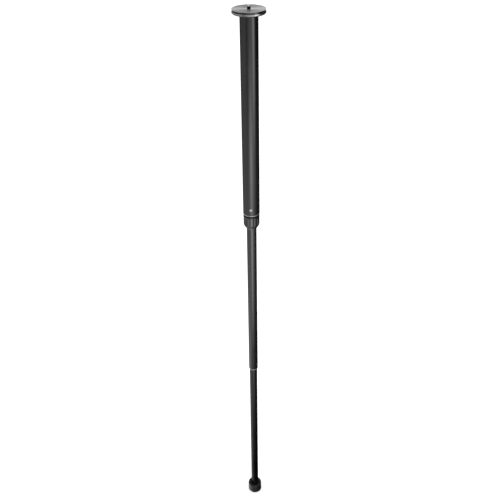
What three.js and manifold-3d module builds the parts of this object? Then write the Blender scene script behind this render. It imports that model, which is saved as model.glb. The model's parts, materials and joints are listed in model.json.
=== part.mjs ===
// A three-section telescopic monopod. It stands on z = 0, fully extended, and its axis is Z.
// The front, with the front rivet, faces -Y. Lengths are in millimetres and angles in radians.
import * as THREE from "three";
import { mergeVertices } from "three/addons/utils/BufferGeometryUtils.js";
import Module from "manifold-3d";

// Driving dimensions.
const GAP = 0.3; // between two pieces that meet
const TUBE_SIDES = 32; // facets round a tube that is seen from outside
const INNER_SIDES = 24; // facets round a ring inside the tubes
const SCREW_SIDES = 16;

const PLATFORM = { radius: 30, top: 1218.4, height: 7.8, chamfer: 1.3 };
const RIM_GROOVE = { depth: 1.6, low: 4.6, high: 6.9 };
const STUD = { radius: 3.175, above: 5.8, below: 18.5 }; // a 1/4 inch camera stud
const UPPER = { outer: 16.5, wall: 1.3, bottom: 822.4, top: 1210.3 };
const MIDDLE = { outer: 10, wall: 0.8, bottom: 414.9, top: 853 };
const LOWER = { outer: 8.5, wall: 0.8, bottom: 8, top: 432 };
const COLLAR = { radius: 16, bottom: 787.8, shoulder: 796, top: 816.3, mouth: 11 };
const FLUTES = { count: 12, depth: 0.9, halfWidth: 0.13, sides: 72, top: 814.4 };
const NECK = { radius: 14.1, bore: 10.6, bottom: 799, seatTop: 806, top: 840 };
const RIVET = { z: 834.8, head: 3.3, rise: 1.2, shank: 1.9, turn: THREE.MathUtils.degToRad(-93) };
const SPINDLE = { radius: 3, bottom: 415, top: 463, bore: 3.35 };
const SLEEVE = { radius: 8.85, bottom: 436, top: 452, throat: 4.6, mouth: 7.3, floor: 440, slit: 1.6 };
const FOOT = { radius: 16, height: 23, recess: 6.5, recessTop: 6.1, socket: 7.7 };
const FOOT_SCREW = { radius: 2, head: 4.6, headBottom: 1.6, headTop: 4.4, top: 20 };

// Finishes, shared by the pieces that are made of the same stuff.
const FINISHES = {
  blackAnodised: { color: 0x3c3c3e, roughness: 0.38, metalness: 0.9 },
  turnedAluminium: { color: 0xb9b9b6, roughness: 0.35, metalness: 1 },
  steel: { color: 0x8e8f90, roughness: 0.3, metalness: 1 },
  brass: { color: 0xb08d4a, roughness: 0.35, metalness: 1 },
  blackRubber: { color: 0x161616, roughness: 0.85, metalness: 0 },
  blackNylon: { color: 0x242424, roughness: 0.6, metalness: 0 },
  whiteAcetal: { color: 0xd8d6cf, roughness: 0.5, metalness: 0 },
};

const wasm = await Module();
wasm.setup();

const group = new THREE.Group();

function add(name, finish, geometry) {
  const mesh = new THREE.Mesh(geometry, new THREE.MeshStandardMaterial(FINISHES[finish]));
  mesh.name = name;
  group.add(mesh);
}

// A profile of [radius, z] points turned about Z. carve, if given, takes a point's number and its
// angle, and returns how far that point is set inwards.
function turned(profile, sides, carve) {
  const points = profile.map(([r, z]) => new THREE.Vector2(r, z));
  const geometry = new THREE.LatheGeometry(points, sides).rotateX(Math.PI / 2);
  if (!carve) return geometry;
  const position = geometry.getAttribute("position");
  for (let i = 0; i < position.count; i++) {
    const angle = Math.atan2(position.getY(i), position.getX(i));
    const radius = Math.hypot(position.getX(i), position.getY(i)) - carve(i % profile.length, angle);
    position.setX(i, radius * Math.cos(angle));
    position.setY(i, radius * Math.sin(angle));
  }
  return geometry;
}

// A ring's profile starts at its inner lower corner and goes round, so it closes on itself.
const ring = (profile, sides = TUBE_SIDES, carve) => turned([...profile, profile[0]], sides, carve);

const sleeve = (inner, outer, bottom, top, sides = INNER_SIDES) =>
  ring([[inner, bottom], [outer, bottom], [outer, top], [inner, top]], sides);

const rod = (profile, sides = SCREW_SIDES) => {
  const [bottom, top] = [profile[0][1], profile.at(-1)[1]];
  return turned([[0, bottom], ...profile, [0, top]], sides);
};

function solidOf(geometry) {
  const bare = geometry.clone().deleteAttribute("normal").deleteAttribute("uv");
  const merged = mergeVertices(bare);
  const mesh = new wasm.Mesh({
    numProp: 3,
    vertProperties: merged.getAttribute("position").array,
    triVerts: new Uint32Array(merged.index.array),
  });
  return new wasm.Manifold(mesh);
}

function cut(geometry, tools) {
  const solid = tools.reduce((left, tool) => left.subtract(solidOf(tool)), solidOf(geometry));
  const { vertProperties, triVerts } = solid.getMesh();
  const result = new THREE.BufferGeometry();
  result.setAttribute("position", new THREE.BufferAttribute(vertProperties, 3));
  result.setIndex(new THREE.BufferAttribute(triVerts, 1));
  result.computeVertexNormals();
  return result;
}

// Lays a shape made along Z on its side, so that its +Z points out along the angle, at height z.
const laidOut = (geometry, angle, z) =>
  geometry.rotateY(Math.PI / 2).rotateZ(angle).translate(0, 0, z);

// A slot that runs out from the axis along the angle, open at both ends of the height.
function slotCutter(width, reach, bottom, top, angle) {
  const box = new THREE.BoxGeometry(reach, width, top - bottom);
  return box.translate(reach / 2, 0, (bottom + top) / 2).rotateZ(angle);
}

const RIVET_PLACES = ["front", "right", "left"];
const rivetAngles = RIVET_PLACES.map((_, i) => RIVET.turn + (i * 2 * Math.PI) / RIVET_PLACES.length);

const rivetHoles = (from) =>
  rivetAngles.map((angle) => {
    const bore = RIVET.shank + GAP;
    return laidOut(rod([[bore, from], [bore, UPPER.outer + 2]]), angle, RIVET.z);
  });

// The head: a knurled platform, its stud, and the plug that holds both in the tube's top end.
function addPlatform() {
  const { radius, top, height, chamfer } = PLATFORM;
  const bottom = top - height;
  const groove = radius - RIM_GROOVE.depth;
  const profile = [
    [STUD.radius + GAP, bottom],
    [radius - chamfer, bottom],
    [radius, bottom + chamfer],
    [radius, bottom + RIM_GROOVE.low],
    [groove, bottom + RIM_GROOVE.low + GAP],
    [groove, bottom + RIM_GROOVE.high],
    [radius, bottom + RIM_GROOVE.high + GAP],
    [radius, top - GAP],
    [radius - GAP, top],
    [STUD.radius + GAP, top],
  ];
  add("platform_plate", "turnedAluminium", ring(profile, 2 * TUBE_SIDES));
}

function addStud() {
  const { radius, above, below } = STUD;
  const [bottom, top] = [PLATFORM.top - below, PLATFORM.top + above];
  const chamfer = 0.6;
  const profile = [
    [radius - chamfer, bottom],
    [radius, bottom + chamfer],
    [radius, top - chamfer],
    [radius - chamfer, top],
  ];
  add("camera_stud", "steel", rod(profile));
}

const PLUG = { height: 12.7, top: UPPER.top - 0.8, screwRadius: 1.5, screwZ: 1204 };

function addTopPlug() {
  const { height, top, screwRadius, screwZ } = PLUG;
  const outer = UPPER.outer - UPPER.wall - 0.2;
  const body = sleeve(STUD.radius + GAP, outer, top - height, top);
  const hole = laidOut(rod([[screwRadius + GAP, 1], [screwRadius + GAP, UPPER.outer]]), Math.PI / 2, screwZ);
  add("top_plug", "turnedAluminium", cut(body, [hole]));
  const [start, end] = [STUD.radius + GAP, outer - 1];
  const screw = laidOut(rod([[screwRadius, start], [screwRadius, end]]), Math.PI / 2, screwZ);
  add("stud_set_screw", "steel", screw);
}

function addPlatformWasher() {
  const bottom = PLUG.top + GAP;
  const top = PLATFORM.top - PLATFORM.height - GAP;
  add("platform_washer", "blackNylon", sleeve(STUD.radius + GAP, 12, bottom, top));
}

// The upper tube, with the threaded neck riveted into its lower end.
function addUpperTube() {
  const { outer, wall, bottom, top } = UPPER;
  const tube = sleeve(outer - wall, outer, bottom, top, TUBE_SIDES);
  add("upper_tube", "blackAnodised", cut(tube, rivetHoles(outer - 2 * wall)));
}

function addTrimRing() {
  const [bottom, top] = [UPPER.bottom - GAP - 2.1, UPPER.bottom - GAP];
  const edge = 0.5;
  const profile = [
    [NECK.radius + GAP, bottom],
    [UPPER.outer - edge, bottom],
    [UPPER.outer, bottom + edge],
    [UPPER.outer, top - edge],
    [UPPER.outer - edge, top],
    [NECK.radius + GAP, top],
  ];
  add("trim_ring", "turnedAluminium", ring(profile));
}

const SEAT = { low: 12.9, high: 11.5 }; // the neck's cone, which squeezes the wedge

function addThreadBush() {
  const { radius, bore, bottom, seatTop, top } = NECK;
  const inTube = UPPER.outer - UPPER.wall - 0.2;
  const profile = [
    [SEAT.low, bottom],
    [radius, bottom],
    [radius, UPPER.bottom],
    [inTube, UPPER.bottom],
    [inTube, top],
    [bore, top],
    [bore, seatTop],
    [SEAT.high, seatTop],
  ];
  const blindFrom = inTube - 2.3;
  add("thread_bush", "blackNylon", cut(ring(profile, INNER_SIDES), rivetHoles(blindFrom)));
}

function addRivets() {
  const { head, rise, shank, z } = RIVET;
  const seat = UPPER.outer + GAP;
  const end = UPPER.outer - UPPER.wall - 1.9;
  const dome = [0.97, 0.8, 0.5].map((part, i) => [head * part, seat + (rise * (i + 2)) / 4]);
  const profile = [[shank, end], [shank, seat], [head, seat], [head, seat + rise / 5], ...dome];
  rivetAngles.forEach((angle, i) => {
    add(`bush_rivet_${RIVET_PLACES[i]}`, "turnedAluminium", laidOut(rod(profile), angle, z));
  });
}

function addDustSeal() {
  const [bottom, top] = [COLLAR.top + GAP, UPPER.bottom - 2 * GAP - 2.1];
  add("dust_seal", "blackRubber", sleeve(NECK.radius + GAP, 15.6, bottom, top));
}

// The clamp: the fluted collar screws up the neck and pushes the split wedge into the neck's cone.
const CAVITY = { radius: 13, floor: 793.4, top: 796.6, thread: 798.2 };

function fluteDepth(angle) {
  const pitch = (2 * Math.PI) / FLUTES.count;
  const fromFlute = (THREE.MathUtils.euclideanModulo(angle, pitch) - pitch / 2) / FLUTES.halfWidth;
  return FLUTES.depth * Math.max(0, 1 - fromFlute * fromFlute);
}

function addTwistCollar() {
  const { radius, bottom, shoulder, top, mouth } = COLLAR;
  const [bore, thread, lip] = [MIDDLE.outer + 0.35, NECK.radius + GAP, 0.3];
  const fluted = [
    [mouth, bottom],
    [radius - 1, shoulder - 1.6],
    [radius, shoulder + 0.8],
    [radius, FLUTES.top - 1],
  ];
  const plain = [
    [radius, FLUTES.top],
    [radius + lip, FLUTES.top + lip],
    [radius + lip, top - lip],
    [radius, top],
    [thread, top],
    [thread, CAVITY.thread],
    [CAVITY.radius, CAVITY.top],
    [CAVITY.radius, CAVITY.floor],
    [bore, CAVITY.floor],
    [bore, bottom],
  ];
  const carve = (point, angle) => {
    if (point === 0 || point === fluted.length + plain.length) return 0;
    return point < fluted.length ? fluteDepth(angle) : 0;
  };
  add("twist_collar", "blackAnodised", ring([...fluted, ...plain], FLUTES.sides, carve));
}

function addThrustRing() {
  const bottom = CAVITY.floor + GAP;
  add("thrust_ring", "whiteAcetal", sleeve(MIDDLE.outer + 0.4, CAVITY.radius - GAP, bottom, bottom + 1.2));
}

function addClampWedge() {
  const [bottom, top, outer, slit] = [CAVITY.floor + 1.8, NECK.seatTop - 1, SEAT.low - 0.25, 2.5];
  const slope = (SEAT.low - SEAT.high) / (NECK.seatTop - NECK.bottom);
  const profile = [
    [MIDDLE.outer + 0.25, bottom],
    [outer, bottom],
    [outer, NECK.bottom],
    [outer - slope * (top - NECK.bottom), top],
    [MIDDLE.outer + 0.25, top],
  ];
  const gap = slotCutter(slit, UPPER.outer, bottom - 1, top + 1, Math.PI / 2);
  add("clamp_wedge", "whiteAcetal", cut(ring(profile, INNER_SIDES), [gap]));
}

// The middle tube: a guide bush at its top, and a slide liner behind a bright ring at its bottom.
function addMiddleTube() {
  const { outer, wall, bottom, top } = MIDDLE;
  const profile = [
    [outer - wall, bottom],
    [outer - 0.55, bottom],
    [outer - 0.15, bottom + 0.5],
    [outer, bottom + 1.3],
    [outer, top],
    [outer - wall, top],
  ];
  add("middle_tube", "blackAnodised", ring(profile));
}

function addGuideBush() {
  const [bottom, top] = [NECK.top + 1, NECK.top + 8.5];
  const inner = MIDDLE.outer + GAP;
  const outer = UPPER.outer - UPPER.wall - 0.4;
  const [land, relief] = [1.8, 0.6];
  const profile = [
    [inner, bottom],
    [outer, bottom],
    [outer, bottom + land],
    [outer - relief, bottom + land + relief],
    [outer - relief, top - land - relief],
    [outer, top - land],
    [outer, top],
    [inner, top],
  ];
  add("middle_guide_bush", "blackNylon", ring(profile, INNER_SIDES));
  const clip = sleeve(MIDDLE.outer + 0.25, MIDDLE.outer + 2.4, top + GAP, top + 1.5);
  const slit = slotCutter(4, UPPER.outer, top, top + 2, Math.PI / 2);
  add("guide_retainer", "steel", cut(clip, [slit]));
}

function addMiddleEnd() {
  const [inner, spigot, flange] = [LOWER.outer + 0.22, MIDDLE.outer - MIDDLE.wall - 0.15, 9.3];
  const shoulder = MIDDLE.bottom - GAP;
  const [bottom, top] = [shoulder - 2, shoulder + 3.4];
  const edge = 0.2;
  const profile = [
    [inner, bottom],
    [flange - edge, bottom],
    [flange, bottom + 2 * edge],
    [flange, shoulder - edge],
    [spigot, shoulder],
    [spigot, top],
    [inner, top],
  ];
  add("middle_end_ring", "turnedAluminium", ring(profile));
  add("middle_end_bush", "whiteAcetal", sleeve(LOWER.outer + 0.18, spigot, top + 0.4, top + 16));
}

// The expander: a split sleeve that a cone on the spindle spreads inside the middle tube.
function addExpander() {
  const { radius, bottom, top, throat, mouth, floor, slit } = SLEEVE;
  const bore = SPINDLE.bore;
  const profile = [
    [bore, bottom],
    [radius, bottom],
    [radius, top],
    [mouth, top],
    [throat, floor],
    [bore, floor - 1],
  ];
  const slots = [0, 1, 2, 3].map((i) => slotCutter(slit, UPPER.outer, floor, top + 1, (i * Math.PI) / 2));
  add("expander_sleeve", "blackNylon", cut(ring(profile, INNER_SIDES), slots));
  add("sleeve_washer", "steel", sleeve(bore, 7.5, bottom - 1.3, bottom - GAP));
}

function addExpanderCone() {
  const { throat, mouth, floor, top } = SLEEVE;
  const [bottom, head, clearance] = [floor + 1.5, top + 5, 0.25];
  const slope = (mouth - throat) / (top - floor);
  const profile = [
    [SPINDLE.bore, bottom],
    [throat + slope * (bottom - floor) - clearance, bottom],
    [mouth - clearance, top],
    [mouth - clearance, head - 1],
    [mouth - 1, head],
    [SPINDLE.bore, head],
  ];
  add("expander_cone", "brass", ring(profile, INNER_SIDES));
}

function addSpindle() {
  const { radius, bottom, top, bore } = SPINDLE;
  add("spindle", "steel", rod([[radius, bottom], [radius, top - 0.6], [radius - 0.6, top]]));
  add("spindle_stop", "steel", sleeve(bore, 5.2, top - 3.5, top - 1.2, SCREW_SIDES));
  const inTube = LOWER.outer - LOWER.wall - 0.15;
  const seat = LOWER.top + GAP;
  const profile = [
    [bore, bottom - 2],
    [inTube, bottom - 2],
    [inTube, seat],
    [LOWER.outer - 0.1, seat],
    [LOWER.outer - 0.1, seat + 2],
    [bore, seat + 2],
  ];
  add("spindle_plug", "blackNylon", ring(profile, INNER_SIDES));
}

// The lower tube and its rubber foot, held on by a screw from below.
function addLowerTube() {
  const { outer, wall, bottom, top } = LOWER;
  add("lower_tube", "blackAnodised", sleeve(outer - wall, outer, bottom, top, TUBE_SIDES));
}

function addFoot() {
  const { radius, height, recess, recessTop, socket } = FOOT;
  const [screwHole, tubeHole, edge] = [FOOT_SCREW.radius + 0.35, LOWER.outer + 0.25, 0.9];
  const profile = [
    [screwHole, recessTop],
    [recess, recessTop],
    [recess, 0],
    [radius - edge, 0],
    [radius, edge],
    [radius, height - edge],
    [radius - edge, height],
    [tubeHole, height],
    [tubeHole, socket],
    [screwHole, socket],
  ];
  add("rubber_foot", "blackRubber", ring(profile));
}

function addFootFixing() {
  const { radius, head, headBottom, headTop, top } = FOOT_SCREW;
  const inTube = LOWER.outer - LOWER.wall - 0.15;
  const body = rod([[head, headBottom], [head, headTop], [radius, headTop], [radius, top]]);
  const socket = rod([[2, headBottom - 1], [2, headBottom + 1.6]], 6);
  add("foot_screw", "steel", cut(body, [socket]));
  add("foot_washer", "steel", sleeve(radius + 0.35, 5.8, headTop + GAP, FOOT.recessTop - GAP));
  add("foot_plug", "blackNylon", sleeve(radius + 0.35, inTube, LOWER.bottom + 1, LOWER.bottom + 16));
}

addPlatform();
addStud();
addPlatformWasher();
addTopPlug();
addUpperTube();
addTrimRing();
addThreadBush();
addRivets();
addDustSeal();
addTwistCollar();
addThrustRing();
addClampWedge();
addMiddleTube();
addGuideBush();
addMiddleEnd();
addExpander();
addExpanderCone();
addSpindle();
addLowerTube();
addFoot();
addFootFixing();

export default group;
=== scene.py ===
import json
import math

import bpy
from mathutils import Matrix, Vector


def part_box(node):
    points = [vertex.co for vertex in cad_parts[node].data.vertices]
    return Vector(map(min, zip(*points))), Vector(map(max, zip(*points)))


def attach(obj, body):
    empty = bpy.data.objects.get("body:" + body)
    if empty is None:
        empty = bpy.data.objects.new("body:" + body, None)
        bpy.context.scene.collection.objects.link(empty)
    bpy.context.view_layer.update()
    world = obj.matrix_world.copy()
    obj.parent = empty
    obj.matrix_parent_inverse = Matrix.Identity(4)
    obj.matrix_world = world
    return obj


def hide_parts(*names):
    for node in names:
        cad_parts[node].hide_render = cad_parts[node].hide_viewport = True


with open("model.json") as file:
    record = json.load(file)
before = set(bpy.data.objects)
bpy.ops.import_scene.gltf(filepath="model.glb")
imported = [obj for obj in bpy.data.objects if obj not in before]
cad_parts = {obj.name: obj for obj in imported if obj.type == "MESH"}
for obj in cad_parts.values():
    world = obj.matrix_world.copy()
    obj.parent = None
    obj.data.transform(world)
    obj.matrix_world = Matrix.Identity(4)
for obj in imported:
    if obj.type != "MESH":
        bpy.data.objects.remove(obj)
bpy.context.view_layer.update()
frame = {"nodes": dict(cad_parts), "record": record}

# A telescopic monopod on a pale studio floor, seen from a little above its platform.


# ---------------------------------------------------------------- sizes

# Lengths are in metres and angles in degrees, unless a comment says otherwise.
MM = 0.001
MICRON = 1e-6
TAU = 2 * math.pi
TOLERANCE = 0.01 * MM    # CAD points this close lie on the same plane or circle
SAME_POINT = 1e-7        # outline points closer than this are one point

# The camera stands in front of the mast. Its lens and sensor are in millimetres.
CAMERA_DISTANCE = 1.2476
CAMERA_ABOVE_PLATFORM = 0.3065
CAMERA_DOWN = 32.411
CAMERA_TURN = 0.182
CAMERA_ROLL = -0.840
CAMERA_LENS = 51.656
CAMERA_NEAREST = 0.05
CAMERA_FURTHEST = 60.0
SENSOR_WIDTH = 36.0

# Sides of a turned piece.
VISIBLE_SIDES = 160
SMALL_SIDES = 128
THIN_SIDES = 48

# The platform's edge, with heights above its underside.
RIM_CHAMFER = 1.3 * MM
GROOVE_LOW = 4.5 * MM
GROOVE_HIGH = 7.4 * MM
GROOVE_DEPTH = 1.6 * MM
KNURL_TEETH = 60
KNURL_STEPS = 12         # points round the rim for each tooth
KNURL_DEPTH = 0.16 * MM
KNURL_NOTCH = 1 / 6      # half a notch's width, as a share of the pitch
KNURL_LOW = 1.2 * MM
KNURL_HIGH = 4.4 * MM

# The camera stud.
STUD_PITCH = 1.27 * MM
STUD_THREAD = 0.55 * MM
STUD_CHAMFER = 0.6 * MM
STUD_STEPS = 12          # points along one pitch
THREAD_FLAT = 0.08       # the flat at a thread's root and crest, as a share of half a pitch

# The collar: its cone below, its flutes, and the plain lip over them.
CONE_HEIGHT = 7.7 * MM
MOUTH_RADIUS = 11.0 * MM
SHOULDER_RADIUS = 16.0 * MM
CONE_SLOPE = (SHOULDER_RADIUS - MOUTH_RADIUS) / CONE_HEIGHT
FLUTES = 12
FLUTE_STEPS = 26         # points round the collar for each flute
FLUTE_DEPTH = 0.95 * MM
FLUTE_HALF_WIDTH = 0.125  # in radians
FLUTE_ROUNDNESS = 1.2
LIP_HEIGHT = 1.9 * MM

# The foot's ringed treads, by radius.
FOOT_GROOVES = (8.4 * MM, 10.6 * MM, 12.8 * MM)
FOOT_GROOVE_DEPTH = 0.9 * MM

# The rivets in the upper tube.
RIVET_SHANK = 1.9 * MM
RIVET_EDGE = 0.25        # the height of the head's edge, as a share of the dome's
RIVET_STEPS = 12

# The studio.
FLOOR_HALF = 9.0
FLOOR_DROP = 0.5 * MM
FLOOR_LIGHT = 1.55


# ---------------------------------------------------------------- meshes


def profile_of(node):
    """Every vertex of a turned CAD node as (radius, z)."""
    return [(math.hypot(v.co.x, v.co.y), v.co.z) for v in frame["nodes"][node].data.vertices]


def measure(node):
    """A turned CAD node's lowest z, highest z, outer radius and bore's radius."""
    radii, heights = zip(*profile_of(node))
    return min(heights), max(heights), max(radii), min(radii)


def cut(start, end, pieces):
    """The points that divide a stretch of an outline into equal pieces, without its end."""
    (r, z), (r2, z2) = start, end
    return [(r + (r2 - r) * k / pieces, z + (z2 - z) * k / pieces) for k in range(pieces)]


def fillet(corners, closed=True, steps=5):
    """Rounds (radius, z, fillet radius) corners into a smooth outline of (radius, z) points."""
    outline = []
    count = len(corners)
    for i, (r, z, size) in enumerate(corners):
        here = Vector((r, z))
        at_end = not closed and i in (0, count - 1)
        if size <= 0 or at_end:
            outline.append((r, z))
            continue
        before = Vector(corners[i - 1][:2]) - here
        after = Vector(corners[(i + 1) % count][:2]) - here
        reach = min(size, before.length / 2, after.length / 2)
        start = here + before.normalized() * reach
        end = here + after.normalized() * reach
        for k in range(steps + 1):
            t = k / steps
            point = (1 - t) ** 2 * start + 2 * t * (1 - t) * here + t**2 * end
            outline.append((point.x, point.y))
    return [p for i, p in enumerate(outline) if math.dist(p, outline[i - 1]) > SAME_POINT]


def subdivided(outline, longest):
    """A closed outline with extra points, so that no stretch of it is longer than that."""
    result = []
    for i, start in enumerate(outline):
        end = outline[(i + 1) % len(outline)]
        result += cut(start, end, max(1, math.ceil(math.dist(start, end) / longest)))
    return result


def smoothstep(low, high, value):
    t = min(1.0, max(0.0, (value - low) / (high - low)))
    return t * t * (3 - 2 * t)


def faded(start, full, waning, end, value):
    """1 from full to waning, easing to 0 at start and at end."""
    return smoothstep(start, full, value) * (1 - smoothstep(waning, end, value))


def turned_points(outline, sides, shape):
    """The outline at each angle about Z. shape(r, z, angle) gives the radius where it isn't r."""
    points = []
    for k in range(sides):
        angle = TAU * k / sides
        for r, z in outline:
            radius = shape(r, z, angle) if shape else r
            points.append((radius * math.cos(angle), radius * math.sin(angle), z))
    return points


def mesh_object(name, vertices, faces, sharp_angle):
    mesh = bpy.data.meshes.new(name)
    mesh.from_pydata(vertices, [], faces)
    mesh.validate()
    mesh.shade_smooth()
    mesh.set_sharp_from_angle(angle=math.radians(sharp_angle))
    thing = bpy.data.objects.new(name, mesh)
    bpy.context.scene.collection.objects.link(thing)
    return thing


def revolve_ring(name, outline, sides=SMALL_SIDES, shape=None, sharp_angle=40):
    """Turns a closed outline, given anticlockwise in (radius, z), about Z."""
    count = len(outline)
    faces = []
    for k in range(sides):
        a, b = k * count, ((k + 1) % sides) * count
        for i in range(count):
            j = (i + 1) % count
            faces.append((a + i, b + i, b + j, a + j))
    return mesh_object(name, turned_points(outline, sides, shape), faces, sharp_angle)


def revolve_solid(name, outline, sides=THIN_SIDES, shape=None, sharp_angle=40):
    """Turns an open outline, from the axis at the bottom to the axis at the top, about Z."""
    inner = outline[1:-1]
    count = len(inner)
    poles = [(0, 0, outline[0][1]), (0, 0, outline[-1][1])]
    faces = []
    for k in range(sides):
        a, b = 2 + k * count, 2 + ((k + 1) % sides) * count
        faces.append((0, b, a))
        faces.append((1, a + count - 1, b + count - 1))
        for i in range(count - 1):
            faces.append((a + i, b + i, b + i + 1, a + i + 1))
    return mesh_object(name, poles + turned_points(inner, sides, shape), faces, sharp_angle)


# ---------------------------------------------------------------- materials


class Graph:
    """A node tree, with short calls that add nodes and join them."""

    def __init__(self, tree):
        self.tree = tree
        tree.nodes.clear()

    def feed(self, socket, value):
        """Links the socket if the value is another node's output, and sets it if not."""
        if isinstance(value, bpy.types.NodeSocket):
            self.tree.links.new(value, socket)
        else:
            socket.default_value = value

    def add(self, kind, inputs=None, **settings):
        node = self.tree.nodes.new(kind)
        for key, value in settings.items():
            setattr(node, key, value)
        for key, value in (inputs or {}).items():
            self.feed(node.inputs[key], value)
        return node

    def math(self, operation, a, b=0.0):
        return self.add("ShaderNodeMath", {0: a, 1: b}, operation=operation).outputs[0]

    def scale(self, value, low, high, to_low, to_high):
        """Maps a value from one range to another, and stays within the second."""
        ranges = {"From Min": low, "From Max": high, "To Min": to_low, "To Max": to_high}
        return self.add("ShaderNodeMapRange", {"Value": value, **ranges}).outputs["Result"]

    def spread(self, noise, to_low, to_high):
        """Maps a noise from where nearly all of it lies, 0.3 to 0.7, onto another range."""
        return self.scale(noise, 0.3, 0.7, to_low, to_high)

    def mix(self, share, a, b):
        """The colour a where share is 0, and b where it is 1."""
        node = self.tree.nodes.new("ShaderNodeMix")
        node.data_type = "RGBA"
        sockets = {s.identifier: s for s in node.inputs}
        for key, value in (("Factor_Float", share), ("A_Color", a), ("B_Color", b)):
            self.feed(sockets[key], value)
        return next(s for s in node.outputs if s.identifier == "Result_Color")

    def place(self, stretch=(1, 1, 1)):
        """The piece's own coordinates, in metres, multiplied by stretch."""
        own = self.add("ShaderNodeTexCoord").outputs["Object"]
        return self.add("ShaderNodeMapping", {"Vector": own, "Scale": stretch}).outputs["Vector"]

    def split(self, vector):
        return self.add("ShaderNodeSeparateXYZ", {"Vector": vector}).outputs

    def noise(self, stretch, detail=3.0, roughness=0.55):
        """Noise with about that many lumps to the metre along X, Y and Z."""
        inputs = {"Vector": self.place(stretch), "Scale": 1.0, "Detail": detail, "Roughness": roughness}
        return self.add("ShaderNodeTexNoise", inputs).outputs["Fac"]

    def even_noise(self, lumps, detail=3.0, roughness=0.55):
        return self.noise((lumps, lumps, lumps), detail, roughness)

    def radius(self):
        """The distance from the mast's axis, in metres."""
        place = self.split(self.place())
        squares = self.math("ADD", self.math("POWER", place["X"], 2), self.math("POWER", place["Y"], 2))
        return self.math("SQRT", squares)

    def across(self):
        return self.split(self.place())["X"]

    def height(self):
        return self.split(self.place())["Z"]

    def bump(self, height, distance, strength):
        inputs = {"Height": height, "Distance": distance, "Strength": strength}
        return self.add("ShaderNodeBump", inputs).outputs["Normal"]

    def metal(self, colour, roughness, normal, more=None):
        inputs = {"Base Color": colour, "Metallic": 1.0, "Roughness": roughness, "Normal": normal}
        return self.add("ShaderNodeBsdfPrincipled", {**inputs, **(more or {})})

    def lathe_cut(self, colour, roughness, feed, stretch):
        """Metal with circular tool marks about the axis, which stretch its highlights."""
        wave = self.math("SINE", self.math("MULTIPLY", self.radius(), TAU / feed))
        marks = self.math("MULTIPLY", wave, self.spread(self.even_noise(900), 0.4, 1.0))
        tangent = self.add("ShaderNodeTangent", direction_type="RADIAL", axis="Z").outputs[0]
        stretched = {"Anisotropic": stretch, "Anisotropic Rotation": 0.25, "Tangent": tangent}
        return self.metal(colour, roughness, self.bump(marks, 3 * MICRON, 0.6), stretched)


def grey(value, warmth=0.0):
    return (value * (1 + warmth), value, value * (1 - warmth), 1.0)


def scaled(colour, factor):
    return tuple(min(1.0, factor * c) for c in colour[:3]) + (1.0,)


def material(name, build):
    made = bpy.data.materials.new(name)
    made.use_nodes = True
    graph = Graph(made.node_tree)
    surface = build(graph)
    graph.add("ShaderNodeOutputMaterial", {"Surface": surface.outputs[0]})
    return made


def anodised(name, shade, roughness):
    """Drawn aluminium tube, dyed black: fine lines along Z, cloudy sheen and a few rubbed streaks."""

    def build(graph):
        lines = graph.noise((2600, 2600, 9), detail=2)
        cloud = graph.noise((38, 38, 14), detail=4)
        streaks = graph.noise((1400, 1400, 5), detail=3, roughness=0.7)
        rubbed = graph.math("MULTIPLY", graph.scale(streaks, 0.60, 0.78, 0.0, 1.0), 0.35)
        tone = graph.mix(cloud, grey(shade * 0.86), grey(shade * 1.14))
        colour = graph.mix(rubbed, tone, grey(shade * 2.2))
        cloudy = graph.spread(cloud, roughness - 0.03, roughness + 0.05)
        gloss = graph.math("ADD", cloudy, graph.spread(lines, -0.02, 0.02))
        normal = graph.bump(lines, 3 * MICRON, 0.15)
        return graph.metal(colour, gloss, normal, {"Specular Tint": grey(0.6)})

    return material(name, build)


def turned(name, shade, roughness, feed):
    """Bare aluminium cut on a lathe, with a little haze."""

    def build(graph):
        haze = graph.even_noise(60, detail=4)
        colour = graph.mix(haze, grey(shade * 0.93, 0.006), grey(shade * 1.05, 0.004))
        gloss = graph.spread(haze, roughness - 0.04, roughness + 0.05)
        return graph.lathe_cut(colour, gloss, feed, stretch=0.65)

    return material(name, build)


def platform_face(name):
    """The platform's turned top and underside, with a painted sheen brighter to the right, and smoother at
    the middle.
    """

    def build(graph):
        rim = measure("platform_plate")[2]
        haze = graph.even_noise(60, detail=4)
        # Painted sheen: the colour lightens towards the right, standing in for the brighter light that
        # falls there. The tone mixes it with random haze.
        painted_sheen_right = graph.scale(graph.across(), -0.6 * rim, 0.6 * rim, 0.0, 0.5)
        tone = graph.math("ADD", graph.math("MULTIPLY", haze, 0.5), painted_sheen_right)
        colour = graph.mix(tone, grey(0.42, 0.006), grey(0.62, 0.004))
        smoother = graph.scale(graph.radius(), 5 * MM, 11 * MM, 0.65, 1.0)
        gloss = graph.math("MULTIPLY", smoother, graph.spread(haze, 0.29, 0.38))
        return graph.lathe_cut(colour, gloss, feed=0.45 * MM, stretch=0.8)

    return material(name, build)


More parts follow.
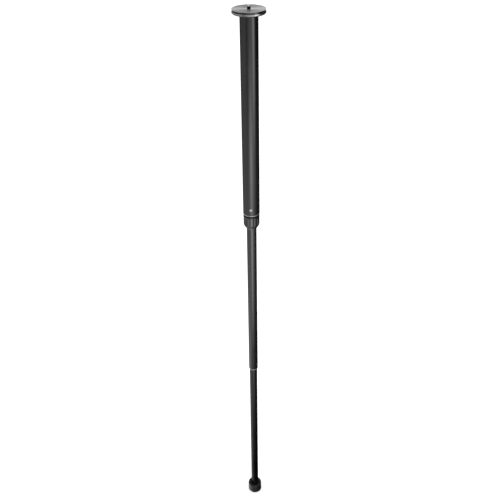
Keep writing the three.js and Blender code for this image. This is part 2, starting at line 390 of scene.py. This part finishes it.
def platform_rim(name):
    """The platform's edge: a bright band with painted shade in its notches, a groove darkened by painted
    shade, and a grey top lip.
    """

    def build(graph):
        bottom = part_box("platform_plate")[0].z
        rim = measure("platform_plate")[2]
        blur = 0.1 * MM
        low = bottom + GROOVE_LOW
        high = bottom + GROOVE_HIGH
        height = graph.height()
        grain = graph.even_noise(900)
        notch_floor = rim - 0.5 * KNURL_DEPTH
        notch_edge = rim - 0.05 * KNURL_DEPTH
        # Painted shade: the knurl's notches are darkened nearly to black, standing in for the shade in
        # their hollows.
        notch_painted_shade = graph.scale(graph.radius(), notch_floor, notch_edge, 1.0, 0.0)
        band = graph.mix(notch_painted_shade, graph.mix(grain, grey(0.80), grey(1.0)), grey(0.10))
        above_band = graph.scale(height, low - blur, low + blur, 0.0, 1.0)
        # Painted shade: the groove is coloured a dim grey against the lip's 0.60, standing in for the
        # shade down in it.
        groove_painted_shade = graph.scale(height, high - blur, high + blur, 1.0, 0.0)
        lip = graph.mix(groove_painted_shade, grey(0.60), grey(0.12))
        colour = graph.mix(above_band, band, lip)
        return graph.metal(colour, graph.spread(grain, 0.12, 0.17), graph.bump(grain, 3 * MICRON, 0.4))

    return material(name, build)


def collar_black(name):
    """The collar: dyed black, with painted shade down in the flutes and a grainy painted highlight along
    its bottom edge.
    """

    def build(graph):
        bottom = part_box("twist_collar")[0].z
        shoulder = bottom + CONE_HEIGHT
        flute_edge = SHOULDER_RADIUS - 0.2 * MM
        flute_floor = SHOULDER_RADIUS - 0.9 * MM
        cloud = graph.noise((60, 60, 30), detail=4)
        grain = graph.noise((1800, 1800, 200), detail=3)
        height = graph.height()
        in_flute = graph.scale(graph.radius(), flute_floor, flute_edge, 1.0, 0.0)
        above_cone = graph.scale(height, shoulder, shoulder + 1 * MM, 0.0, 1.0)
        # Painted shade: the flutes' hollows above the cone are darkened, standing in for the shade down in
        # them.
        painted_flute_shade = graph.math("MULTIPLY", in_flute, above_cone)
        tone = graph.mix(painted_flute_shade, graph.mix(cloud, grey(0.17), grey(0.22)), grey(0.09))
        # Painted highlight: the bottom edge is lightened nearly to bare metal, broken up by grain,
        # standing in for the highlight along it.
        at_edge = graph.scale(height, bottom + 1.2 * MM, bottom + 1.6 * MM, 1.0, 0.0)
        painted_edge_highlight = graph.math("MULTIPLY", at_edge, graph.scale(grain, 0.3, 0.5, 0.7, 1.0))
        colour = graph.mix(painted_edge_highlight, tone, grey(0.90))
        gloss = graph.spread(cloud, 0.18, 0.26)
        normal = graph.bump(grain, 4 * MICRON, 0.4)
        return graph.metal(colour, gloss, normal, {"Specular Tint": grey(0.6)})

    return material(name, build)


def screw_dark_thread_bright_top(name):
    """Steel screw, dark all along its thread and bright over its top end."""

    def build(graph):
        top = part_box("camera_stud")[1].z
        fine = graph.even_noise(2000)
        bright = graph.scale(graph.height(), top - 2.0 * MM, top - 1.6 * MM, 0.0, 1.0)
        colour = graph.mix(bright, grey(0.03), grey(0.95))
        return graph.metal(colour, graph.spread(fine, 0.28, 0.36), graph.bump(fine, 4 * MICRON, 0.5))

    return material(name, build)


def machined(name, colour, roughness):
    """Plain machined metal, with a fine even grain and slight stains."""

    def build(graph):
        fine = graph.even_noise(1500)
        stain = graph.even_noise(120, detail=4)
        stained = graph.mix(stain, scaled(colour, 0.72), colour)
        gloss = graph.spread(stain, roughness - 0.05, roughness + 0.08)
        return graph.metal(stained, gloss, graph.bump(fine, 6 * MICRON, 0.5))

    return material(name, build)


def moulded(name, colour, roughness, lumps, depth, shine=0.5):
    """Moulded rubber or plastic: a fine pebbled skin with uneven dullness."""

    def build(graph):
        fine = graph.even_noise(lumps, detail=4, roughness=0.65)
        cloud = graph.even_noise(90)
        return graph.add("ShaderNodeBsdfPrincipled", {
            "Base Color": graph.mix(cloud, colour, scaled(colour, 1.5)),
            "Roughness": graph.spread(cloud, roughness - 0.06, roughness + 0.06),
            "Specular IOR Level": shine,
            "Normal": graph.bump(fine, depth, 0.8),
        })

    return material(name, build)


def make_materials():
    return {
        "upper": anodised("upper_tube_black", 0.13, 0.18),
        "middle": anodised("middle_tube_black", 0.16, 0.18),
        "lower": anodised("lower_tube_black", 0.09, 0.19),
        "collar": collar_black("collar_black"),
        "platform": platform_face("platform_face_aluminium"),
        "platform_rim": platform_rim("platform_rim_aluminium"),
        "ring": turned("ring_aluminium", 0.72, 0.30, 0.3 * MM),
        "rivet": machined("rivet_aluminium", grey(0.98), 0.20),
        "stud": screw_dark_thread_bright_top("stud_steel"),
        "steel": machined("machined_steel", grey(0.50), 0.35),
        "brass": machined("turned_brass", (0.62, 0.43, 0.17, 1.0), 0.33),
        "seal": moulded("seal_rubber", grey(0.002), 0.5, 1800, 10 * MICRON, 0.25),
        "rubber": moulded("black_rubber", grey(0.0022), 0.30, 2200, 8 * MICRON, 1.0),
        "nylon": moulded("black_nylon", grey(0.020), 0.50, 1600, 10 * MICRON),
        "acetal": moulded("white_acetal", grey(0.55, 0.02), 0.42, 1200, 8 * MICRON),
    }


# ---------------------------------------------------------------- pieces


def body_of(node):
    bodies = frame["record"]["behaviour"]["bodies"]
    return next(body for body, members in bodies.items() if node in members)


def slot_of(node):
    return next(s["material_slot"] for s in frame["record"]["subparts"] if s["node"] == node)


def stand_for(thing, node, finish):
    """The finished piece takes the place and the body of its CAD node, and gets that finish."""
    thing.data.materials.append(finish)
    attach(thing, body_of(node))
    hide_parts(node)


def make_platform(finish, rim_finish):
    """The turned disc: a knurled band round its lower edge, and a groove under its top edge."""
    bottom, top, rim, bore = measure("platform_plate")
    groove_floor = rim - GROOVE_DEPTH
    corners = [
        (bore, bottom, 0.2 * MM),
        (rim - RIM_CHAMFER, bottom, 0.2 * MM),
        (rim, bottom + RIM_CHAMFER, 0.25 * MM),
        (rim, bottom + GROOVE_LOW, 0.3 * MM),
        (groove_floor, bottom + GROOVE_LOW + 0.2 * MM, 0.15 * MM),
        (groove_floor, bottom + GROOVE_HIGH - 0.2 * MM, 0.15 * MM),
        (rim, bottom + GROOVE_HIGH, 0.2 * MM),
        (rim, top, 0.35 * MM),
        (bore + 0.5 * MM, top, 0.0),
        (bore, top - 0.5 * MM, 0.1 * MM),
    ]
    low = bottom + KNURL_LOW
    high = bottom + KNURL_HIGH

    def knurl(r, z, angle):
        if r < rim - 1.5 * RIM_CHAMFER:
            return r
        tooth = (angle * KNURL_TEETH / TAU) % 1.0
        valley = max(0.0, 1 - min(tooth, 1 - tooth) / KNURL_NOTCH)
        fade = faded(low - 0.5 * MM, low + 0.2 * MM, high - 0.3 * MM, high, z)
        return r - KNURL_DEPTH * valley * fade

    outline = subdivided(fillet(corners), 1.5 * MM)
    disc = revolve_ring("platform", outline, KNURL_TEETH * KNURL_STEPS, knurl)
    stand_for(disc, "platform_plate", finish)
    disc.data.materials.append(rim_finish)
    for face in disc.data.polygons:
        far_out = math.hypot(face.center.x, face.center.y) > groove_floor - 0.1 * MM
        if far_out and bottom + 0.05 * MM < face.center.z < top - 0.1 * MM:
            face.material_index = 1


def make_stud(finish):
    """The camera stud, threaded from end to end, in place of a plain CAD rod."""
    bottom, top, major, _ = measure("camera_stud")
    corners = [
        (0.0, bottom, 0.0),
        (major - STUD_CHAMFER, bottom, 0.1 * MM),
        (major, bottom + STUD_CHAMFER, 0.1 * MM),
        (major, top - STUD_CHAMFER, 0.1 * MM),
        (major - STUD_CHAMFER, top, 0.1 * MM),
        (0.0, top, 0.0),
    ]

    def thread(r, z, angle):
        if r < major - 2 * STUD_THREAD:
            return r
        turn = (z / STUD_PITCH - angle / TAU) % 1.0
        ridge = smoothstep(THREAD_FLAT, 1 - THREAD_FLAT, 1 - abs(2 * turn - 1))
        fade = faded(bottom, bottom + STUD_PITCH, top - STUD_PITCH, top, z)
        return min(r, major - STUD_THREAD * (1 - ridge) * fade)

    plain = fillet(corners, closed=False, steps=3)
    outline = []
    for start, end in zip(plain, plain[1:]):
        rise = abs(end[1] - start[1])
        outline += cut(start, end, max(1, math.ceil(rise / (STUD_PITCH / STUD_STEPS))))
    outline.append(plain[-1])
    rod = revolve_solid("camera_screw", outline, THIN_SIDES, thread, sharp_angle=50)
    stand_for(rod, "camera_stud", finish)


def make_tube(name, node, finish, end_round):
    """A drawn tube with its ends broken or rolled."""
    bottom, top, outer, bore = measure(node)
    corners = [
        (bore, bottom, 0.15 * MM),
        (outer, bottom, end_round),
        (outer, top, 0.25 * MM),
        (bore, top, 0.15 * MM),
    ]
    tube = revolve_ring(name, fillet(corners, steps=8), VISIBLE_SIDES)
    stand_for(tube, node, finish)


def make_rivet(node, finish):
    """A domed rivet whose head stands on the upper tube's wall."""
    _, _, crown, end = measure(node)
    low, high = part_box(node)
    centre = (low + high) / 2
    head = (high.z - low.z) / 2
    wall = measure("upper_tube")[2]
    rise = crown - wall
    corners = [
        (0.0, end, 0.0),
        (RIVET_SHANK, end, 0.2 * MM),
        (RIVET_SHANK, wall - 0.2 * MM, 0.0),
        (head, wall - 0.05 * MM, 0.0),
        (head, wall + RIVET_EDGE * rise, 0.15 * MM),
    ]
    outline = fillet(corners, closed=False, steps=3)
    for k in range(1, RIVET_STEPS):
        angle = math.pi / 2 * k / RIVET_STEPS
        lift = RIVET_EDGE + (1 - RIVET_EDGE) * math.sin(angle)
        outline.append((head * math.cos(angle), wall + rise * lift))
    outline.append((0.0, crown))
    rivet = revolve_solid(node + "_domed", outline)
    outward = Matrix.Rotation(math.atan2(centre.y, centre.x), 4, "Z")
    lying = Matrix.Rotation(math.pi / 2, 4, "Y")
    rivet.data.transform(Matrix.Translation((0, 0, centre.z)) @ outward @ lying)
    stand_for(rivet, node, finish)


def make_trim_ring(finish):
    bottom, top, outer, bore = measure("trim_ring")
    corners = [
        (bore, bottom, 0.1 * MM),
        (outer, bottom, 0.7 * MM),
        (outer, top, 0.7 * MM),
        (bore, top, 0.1 * MM),
    ]
    stand_for(revolve_ring("bead_ring", fillet(corners, steps=8), VISIBLE_SIDES), "trim_ring", finish)


def make_dust_seal(finish):
    """A soft lip seal, waisted between its two edges."""
    bottom, top, outer, bore = measure("dust_seal")
    corners = [
        (bore, bottom, 0.0),
        (outer, bottom, 0.5 * MM),
        (outer - 0.9 * MM, (bottom + top) / 2, 0.8 * MM),
        (outer, top, 0.5 * MM),
        (bore, top, 0.0),
    ]
    stand_for(revolve_ring("lip_seal", fillet(corners)), "dust_seal", finish)


def make_collar(finish):
    """The twist collar: a plain lip over scalloped flutes that run on down its cone."""
    bottom, top, lip, bore = measure("twist_collar")
    points = profile_of("twist_collar")
    thread = min(r for r, z in points if z > top - TOLERANCE)
    floor = min(z for r, z in points if z > bottom + TOLERANCE and r < bore + TOLERANCE)
    cavity = max(r for r, z in points if abs(z - floor) < TOLERANCE)
    shoulder = bottom + CONE_HEIGHT
    flute_top = top - LIP_HEIGHT
    corners = [
        (bore, bottom, 0.2 * MM),
        (MOUTH_RADIUS, bottom, 0.35 * MM),
        (SHOULDER_RADIUS, shoulder, 1.6 * MM),
        (SHOULDER_RADIUS, flute_top - 0.1 * MM, 0.15 * MM),
        (lip, flute_top + 0.3 * MM, 0.25 * MM),
        (lip, top - 0.1 * MM, 0.35 * MM),
        (thread, top, 0.3 * MM),
        (thread, floor + 4.8 * MM, 0.1 * MM),
        (cavity, floor + 3.2 * MM, 0.1 * MM),
        (cavity, floor, 0.0),
        (bore, floor, 0.0),
    ]

    def scallop(r, z, angle):
        skin = SHOULDER_RADIUS - CONE_SLOPE * max(0.0, shoulder - z)
        if r < skin - 0.6 * MM or z > flute_top:
            return r
        along = (angle * FLUTES / TAU) % 1.0 - 0.5
        across = abs(along) * TAU / FLUTES / FLUTE_HALF_WIDTH
        dip = math.cos(min(1.0, across) * math.pi / 2) ** FLUTE_ROUNDNESS
        fade = faded(bottom + 1.7 * MM, bottom + 3.0 * MM, flute_top - 2.2 * MM, flute_top - 0.3 * MM, z)
        return r - FLUTE_DEPTH * dip * fade

    outline = subdivided(fillet(corners, steps=7), 0.8 * MM)
    collar = revolve_ring("fluted_collar", outline, FLUTES * FLUTE_STEPS, scallop, sharp_angle=50)
    stand_for(collar, "twist_collar", finish)


def make_end_ring(finish):
    """The bright ring that closes the middle tube's lower end round the lower tube."""
    bottom, top, outer, bore = measure("middle_end_ring")
    flange = outer + 0.3 * MM
    shoulder = measure("middle_tube")[0] - 0.3 * MM
    spigot = measure("middle_end_bush")[2]
    corners = [
        (bore, bottom, 0.1 * MM),
        (flange, bottom, 0.45 * MM),
        (flange, shoulder, 0.25 * MM),
        (spigot, shoulder, 0.0),
        (spigot, top, 0.1 * MM),
        (bore, top, 0.1 * MM),
    ]
    stand_for(revolve_ring("end_ring", fillet(corners, steps=7)), "middle_end_ring", finish)


def make_foot(finish):
    """The rubber foot, with a rounded top edge and ringed treads round the screw's recess."""
    bottom, top, outer, screw_hole = measure("rubber_foot")
    points = profile_of("rubber_foot")
    recess = min(r for r, z in points if z < bottom + TOLERANCE)
    tube_hole = min(r for r, z in points if z > top - TOLERANCE)
    screw_heights = [z for r, z in points if r < screw_hole + TOLERANCE]
    ceiling = min(screw_heights)
    socket = max(screw_heights)
    tread = bottom + FOOT_GROOVE_DEPTH
    corners = [
        (screw_hole, ceiling, 0.1 * MM),
        (recess, ceiling, 0.3 * MM),
        (recess, bottom, 0.3 * MM),
    ]
    for radius in FOOT_GROOVES:
        corners += [
            (radius - 0.5 * MM, bottom, 0.15 * MM),
            (radius - 0.3 * MM, tread, 0.15 * MM),
            (radius + 0.3 * MM, tread, 0.15 * MM),
            (radius + 0.5 * MM, bottom, 0.15 * MM),
        ]
    corners += [
        (outer, bottom, 0.9 * MM),
        (outer, top, 0.9 * MM),
        (tube_hole + 0.9 * MM, top, 0.3 * MM),
        (tube_hole, top - 0.6 * MM, 0.2 * MM),
        (tube_hole, socket, 0.0),
        (screw_hole, socket, 0.1 * MM),
    ]
    stand_for(revolve_ring("moulded_foot", fillet(corners, steps=6), VISIBLE_SIDES), "rubber_foot", finish)


def dress_inner_pieces(finishes):
    """The pieces inside the tubes keep their CAD shapes, and get the finish of their slot."""
    by_slot = {
        "turned_aluminium": finishes["ring"],
        "steel": finishes["steel"],
        "brass": finishes["brass"],
        "black_nylon": finishes["nylon"],
        "white_acetal": finishes["acetal"],
        "black_rubber": finishes["rubber"],
        "black_anodised": finishes["lower"],
    }
    for name, node in frame["nodes"].items():
        if node.hide_render:
            continue
        node.data.materials.clear()
        node.data.materials.append(by_slot[slot_of(name)])


# ---------------------------------------------------------------- studio


def make_floor():
    half = FLOOR_HALF
    corners = [(-half, -half), (half, -half), (half, half), (-half, half)]
    mesh = bpy.data.meshes.new("studio_floor")
    mesh.from_pydata([(x, y, -FLOOR_DROP) for x, y in corners], [], [(0, 1, 2, 3)])
    floor = bpy.data.objects.new("studio_floor", mesh)
    bpy.context.scene.collection.objects.link(floor)

    def build(graph):
        speckle = graph.even_noise(3, detail=2)
        colour = graph.mix(speckle, grey(0.88), grey(0.90))
        return graph.add("ShaderNodeBsdfDiffuse", {"Color": colour})

    mesh.materials.append(material("pale_paper", build))
    floor.visible_glossy = False


# How bright the studio looks in a reflection. Each band is (the direction's Z, levels), and each
# level is (azimuth, brightness): azimuth 0 is towards the camera, and 90 is to the mast's right.
REFLECTIONS = (
    (1.00, ((-180, 0.05), (180, 0.05))),
    (0.75, ((-180, 0.05), (-90, 0.12), (0, 0.45), (60, 0.35), (110, 0.10), (180, 0.05))),
    (0.45, ((-180, 0.22), (-90, 0.30), (0, 0.80), (50, 0.50), (80, 0.08), (140, 0.08), (180, 0.22))),
    (0.24, ((-180, 1.05), (-130, 1.00), (-60, 0.30), (0, 0.90), (50, 0.60), (80, 0.04), (125, 0.04),
            (145, 1.05), (180, 1.05))),
    (0.05, ((-180, 0.25), (-90, 0.30), (0, 0.60), (50, 0.80), (80, 0.04), (150, 0.04), (180, 0.25))),
    (-0.25, ((-180, 0.06), (-120, 0.24), (-52, 0.24), (-40, 0.05), (-22, 0.04), (-6, 0.18), (25, 0.34),
             (38, 0.60), (48, 1.50), (58, 1.05), (72, 0.22), (85, 0.02), (140, 0.02), (180, 0.06))),
    (-0.45, ((-180, 0.10), (-120, 0.40), (-40, 0.34), (-22, 0.55), (-6, 1.20), (8, 1.60), (24, 0.95),
             (42, 0.60), (60, 0.30), (78, 0.12), (95, 0.08), (180, 0.10))),
    (-0.60, ((-180, 0.10), (-110, 0.50), (-42, 0.48), (-14, 0.75), (8, 1.05), (28, 0.45), (50, 0.20),
             (72, 0.09), (100, 0.06), (180, 0.10))),
    (-0.68, ((-180, 0.10), (-95, 0.95), (-50, 0.52), (-15, 0.20), (15, 0.11), (45, 0.06), (90, 0.05),
             (180, 0.10))),
    (-0.77, ((-180, 0.06), (-105, 0.85), (-72, 0.50), (-36, 0.11), (0, 0.02), (40, 0.01), (100, 0.01),
             (180, 0.06))),
    (-0.90, ((-180, 0.06), (-105, 0.60), (-72, 0.40), (-36, 0.10), (0, 0.02), (40, 0.01), (100, 0.01),
             (180, 0.06))),
    (-0.96, ((-180, 0.10), (-110, 0.60), (-40, 0.40), (0, 0.40), (40, 0.20), (95, 0.05), (180, 0.10))),
    (-0.99, ((-180, 1.20), (180, 1.20))),
)
BRIGHTEST = 1.6


def make_band(graph, bearing, levels):
    """One band of the studio round the horizon, as shares of its brightest level. A bearing is an
    azimuth as a share of a turn, and 0.5 is towards the camera."""
    ramp = graph.add("ShaderNodeValToRGB", {"Fac": bearing})
    ramp.color_ramp.interpolation = "EASE"
    elements = ramp.color_ramp.elements
    while len(elements) > 1:
        elements.remove(elements[-1])
    for i, (azimuth, brightness) in enumerate(levels):
        position = azimuth / 360 + 0.5
        element = elements[0] if i == 0 else elements.new(position)
        element.position = position
        element.color = grey(brightness / BRIGHTEST)
    return ramp.outputs["Color"]


def make_world():
    """Even light on the floor and on dull surfaces, and a graded studio in the reflections."""
    world = bpy.data.worlds.new("studio")
    world.use_nodes = True
    bpy.context.scene.world = world
    graph = Graph(world.node_tree)
    direction = graph.split(graph.add("ShaderNodeTexCoord").outputs["Generated"])
    azimuth = graph.math("ARCTAN2", direction["X"], graph.math("MULTIPLY", direction["Y"], -1.0))
    bearing = graph.math("ADD", graph.math("DIVIDE", azimuth, TAU), 0.5)
    above, levels = REFLECTIONS[0]
    reflections = make_band(graph, bearing, levels)
    for height, levels in REFLECTIONS[1:]:
        share = graph.scale(direction["Z"], above, height, 0.0, 1.0)
        reflections = graph.mix(share, reflections, make_band(graph, bearing, levels))
        above = height
    rays = graph.add("ShaderNodeLightPath").outputs

    def background(colour, strength):
        return graph.add("ShaderNodeBackground", {"Color": colour, "Strength": strength}).outputs[0]

    def choose(ray, otherwise, chosen):
        return graph.add("ShaderNodeMixShader", {0: rays[ray], 1: otherwise, 2: chosen}).outputs[0]

    even = background(grey(1.0), FLOOR_LIGHT)
    lit = choose("Is Glossy Ray", even, background(reflections, BRIGHTEST))
    seen = choose("Is Camera Ray", lit, background(grey(1.0), 1.0))
    graph.add("ShaderNodeOutputWorld", {"Surface": seen})


def make_camera():
    platform_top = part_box("platform_plate")[1].z
    data = bpy.data.cameras.new("camera")
    data.lens = CAMERA_LENS
    data.sensor_width = SENSOR_WIDTH
    data.clip_start = CAMERA_NEAREST
    data.clip_end = CAMERA_FURTHEST
    camera = bpy.data.objects.new("camera", data)
    bpy.context.scene.collection.objects.link(camera)
    turn = Matrix.Rotation(math.radians(CAMERA_TURN), 4, "Z")
    tilt = Matrix.Rotation(math.radians(90 - CAMERA_DOWN), 4, "X")
    roll = Matrix.Rotation(math.radians(CAMERA_ROLL), 4, "Z")
    place = Matrix.Translation((0, -CAMERA_DISTANCE, platform_top + CAMERA_ABOVE_PLATFORM))
    camera.matrix_world = place @ turn @ tilt @ roll
    bpy.context.scene.camera = camera


def main():
    bpy.context.scene.view_settings.view_transform = "Standard"
    make_camera()
    finishes = make_materials()
    make_platform(finishes["platform"], finishes["platform_rim"])
    make_stud(finishes["stud"])
    make_tube("upper_mast_tube", "upper_tube", finishes["upper"], 0.3 * MM)
    make_trim_ring(finishes["ring"])
    for place in ("front", "right", "left"):
        make_rivet("bush_rivet_" + place, finishes["rivet"])
    make_dust_seal(finishes["seal"])
    make_collar(finishes["collar"])
    make_tube("middle_mast_tube", "middle_tube", finishes["middle"], 1.3 * MM)
    make_end_ring(finishes["ring"])
    make_tube("lower_mast_tube", "lower_tube", finishes["lower"], 0.3 * MM)
    make_foot(finishes["rubber"])
    dress_inner_pieces(finishes)
    make_floor()
    make_world()


main()
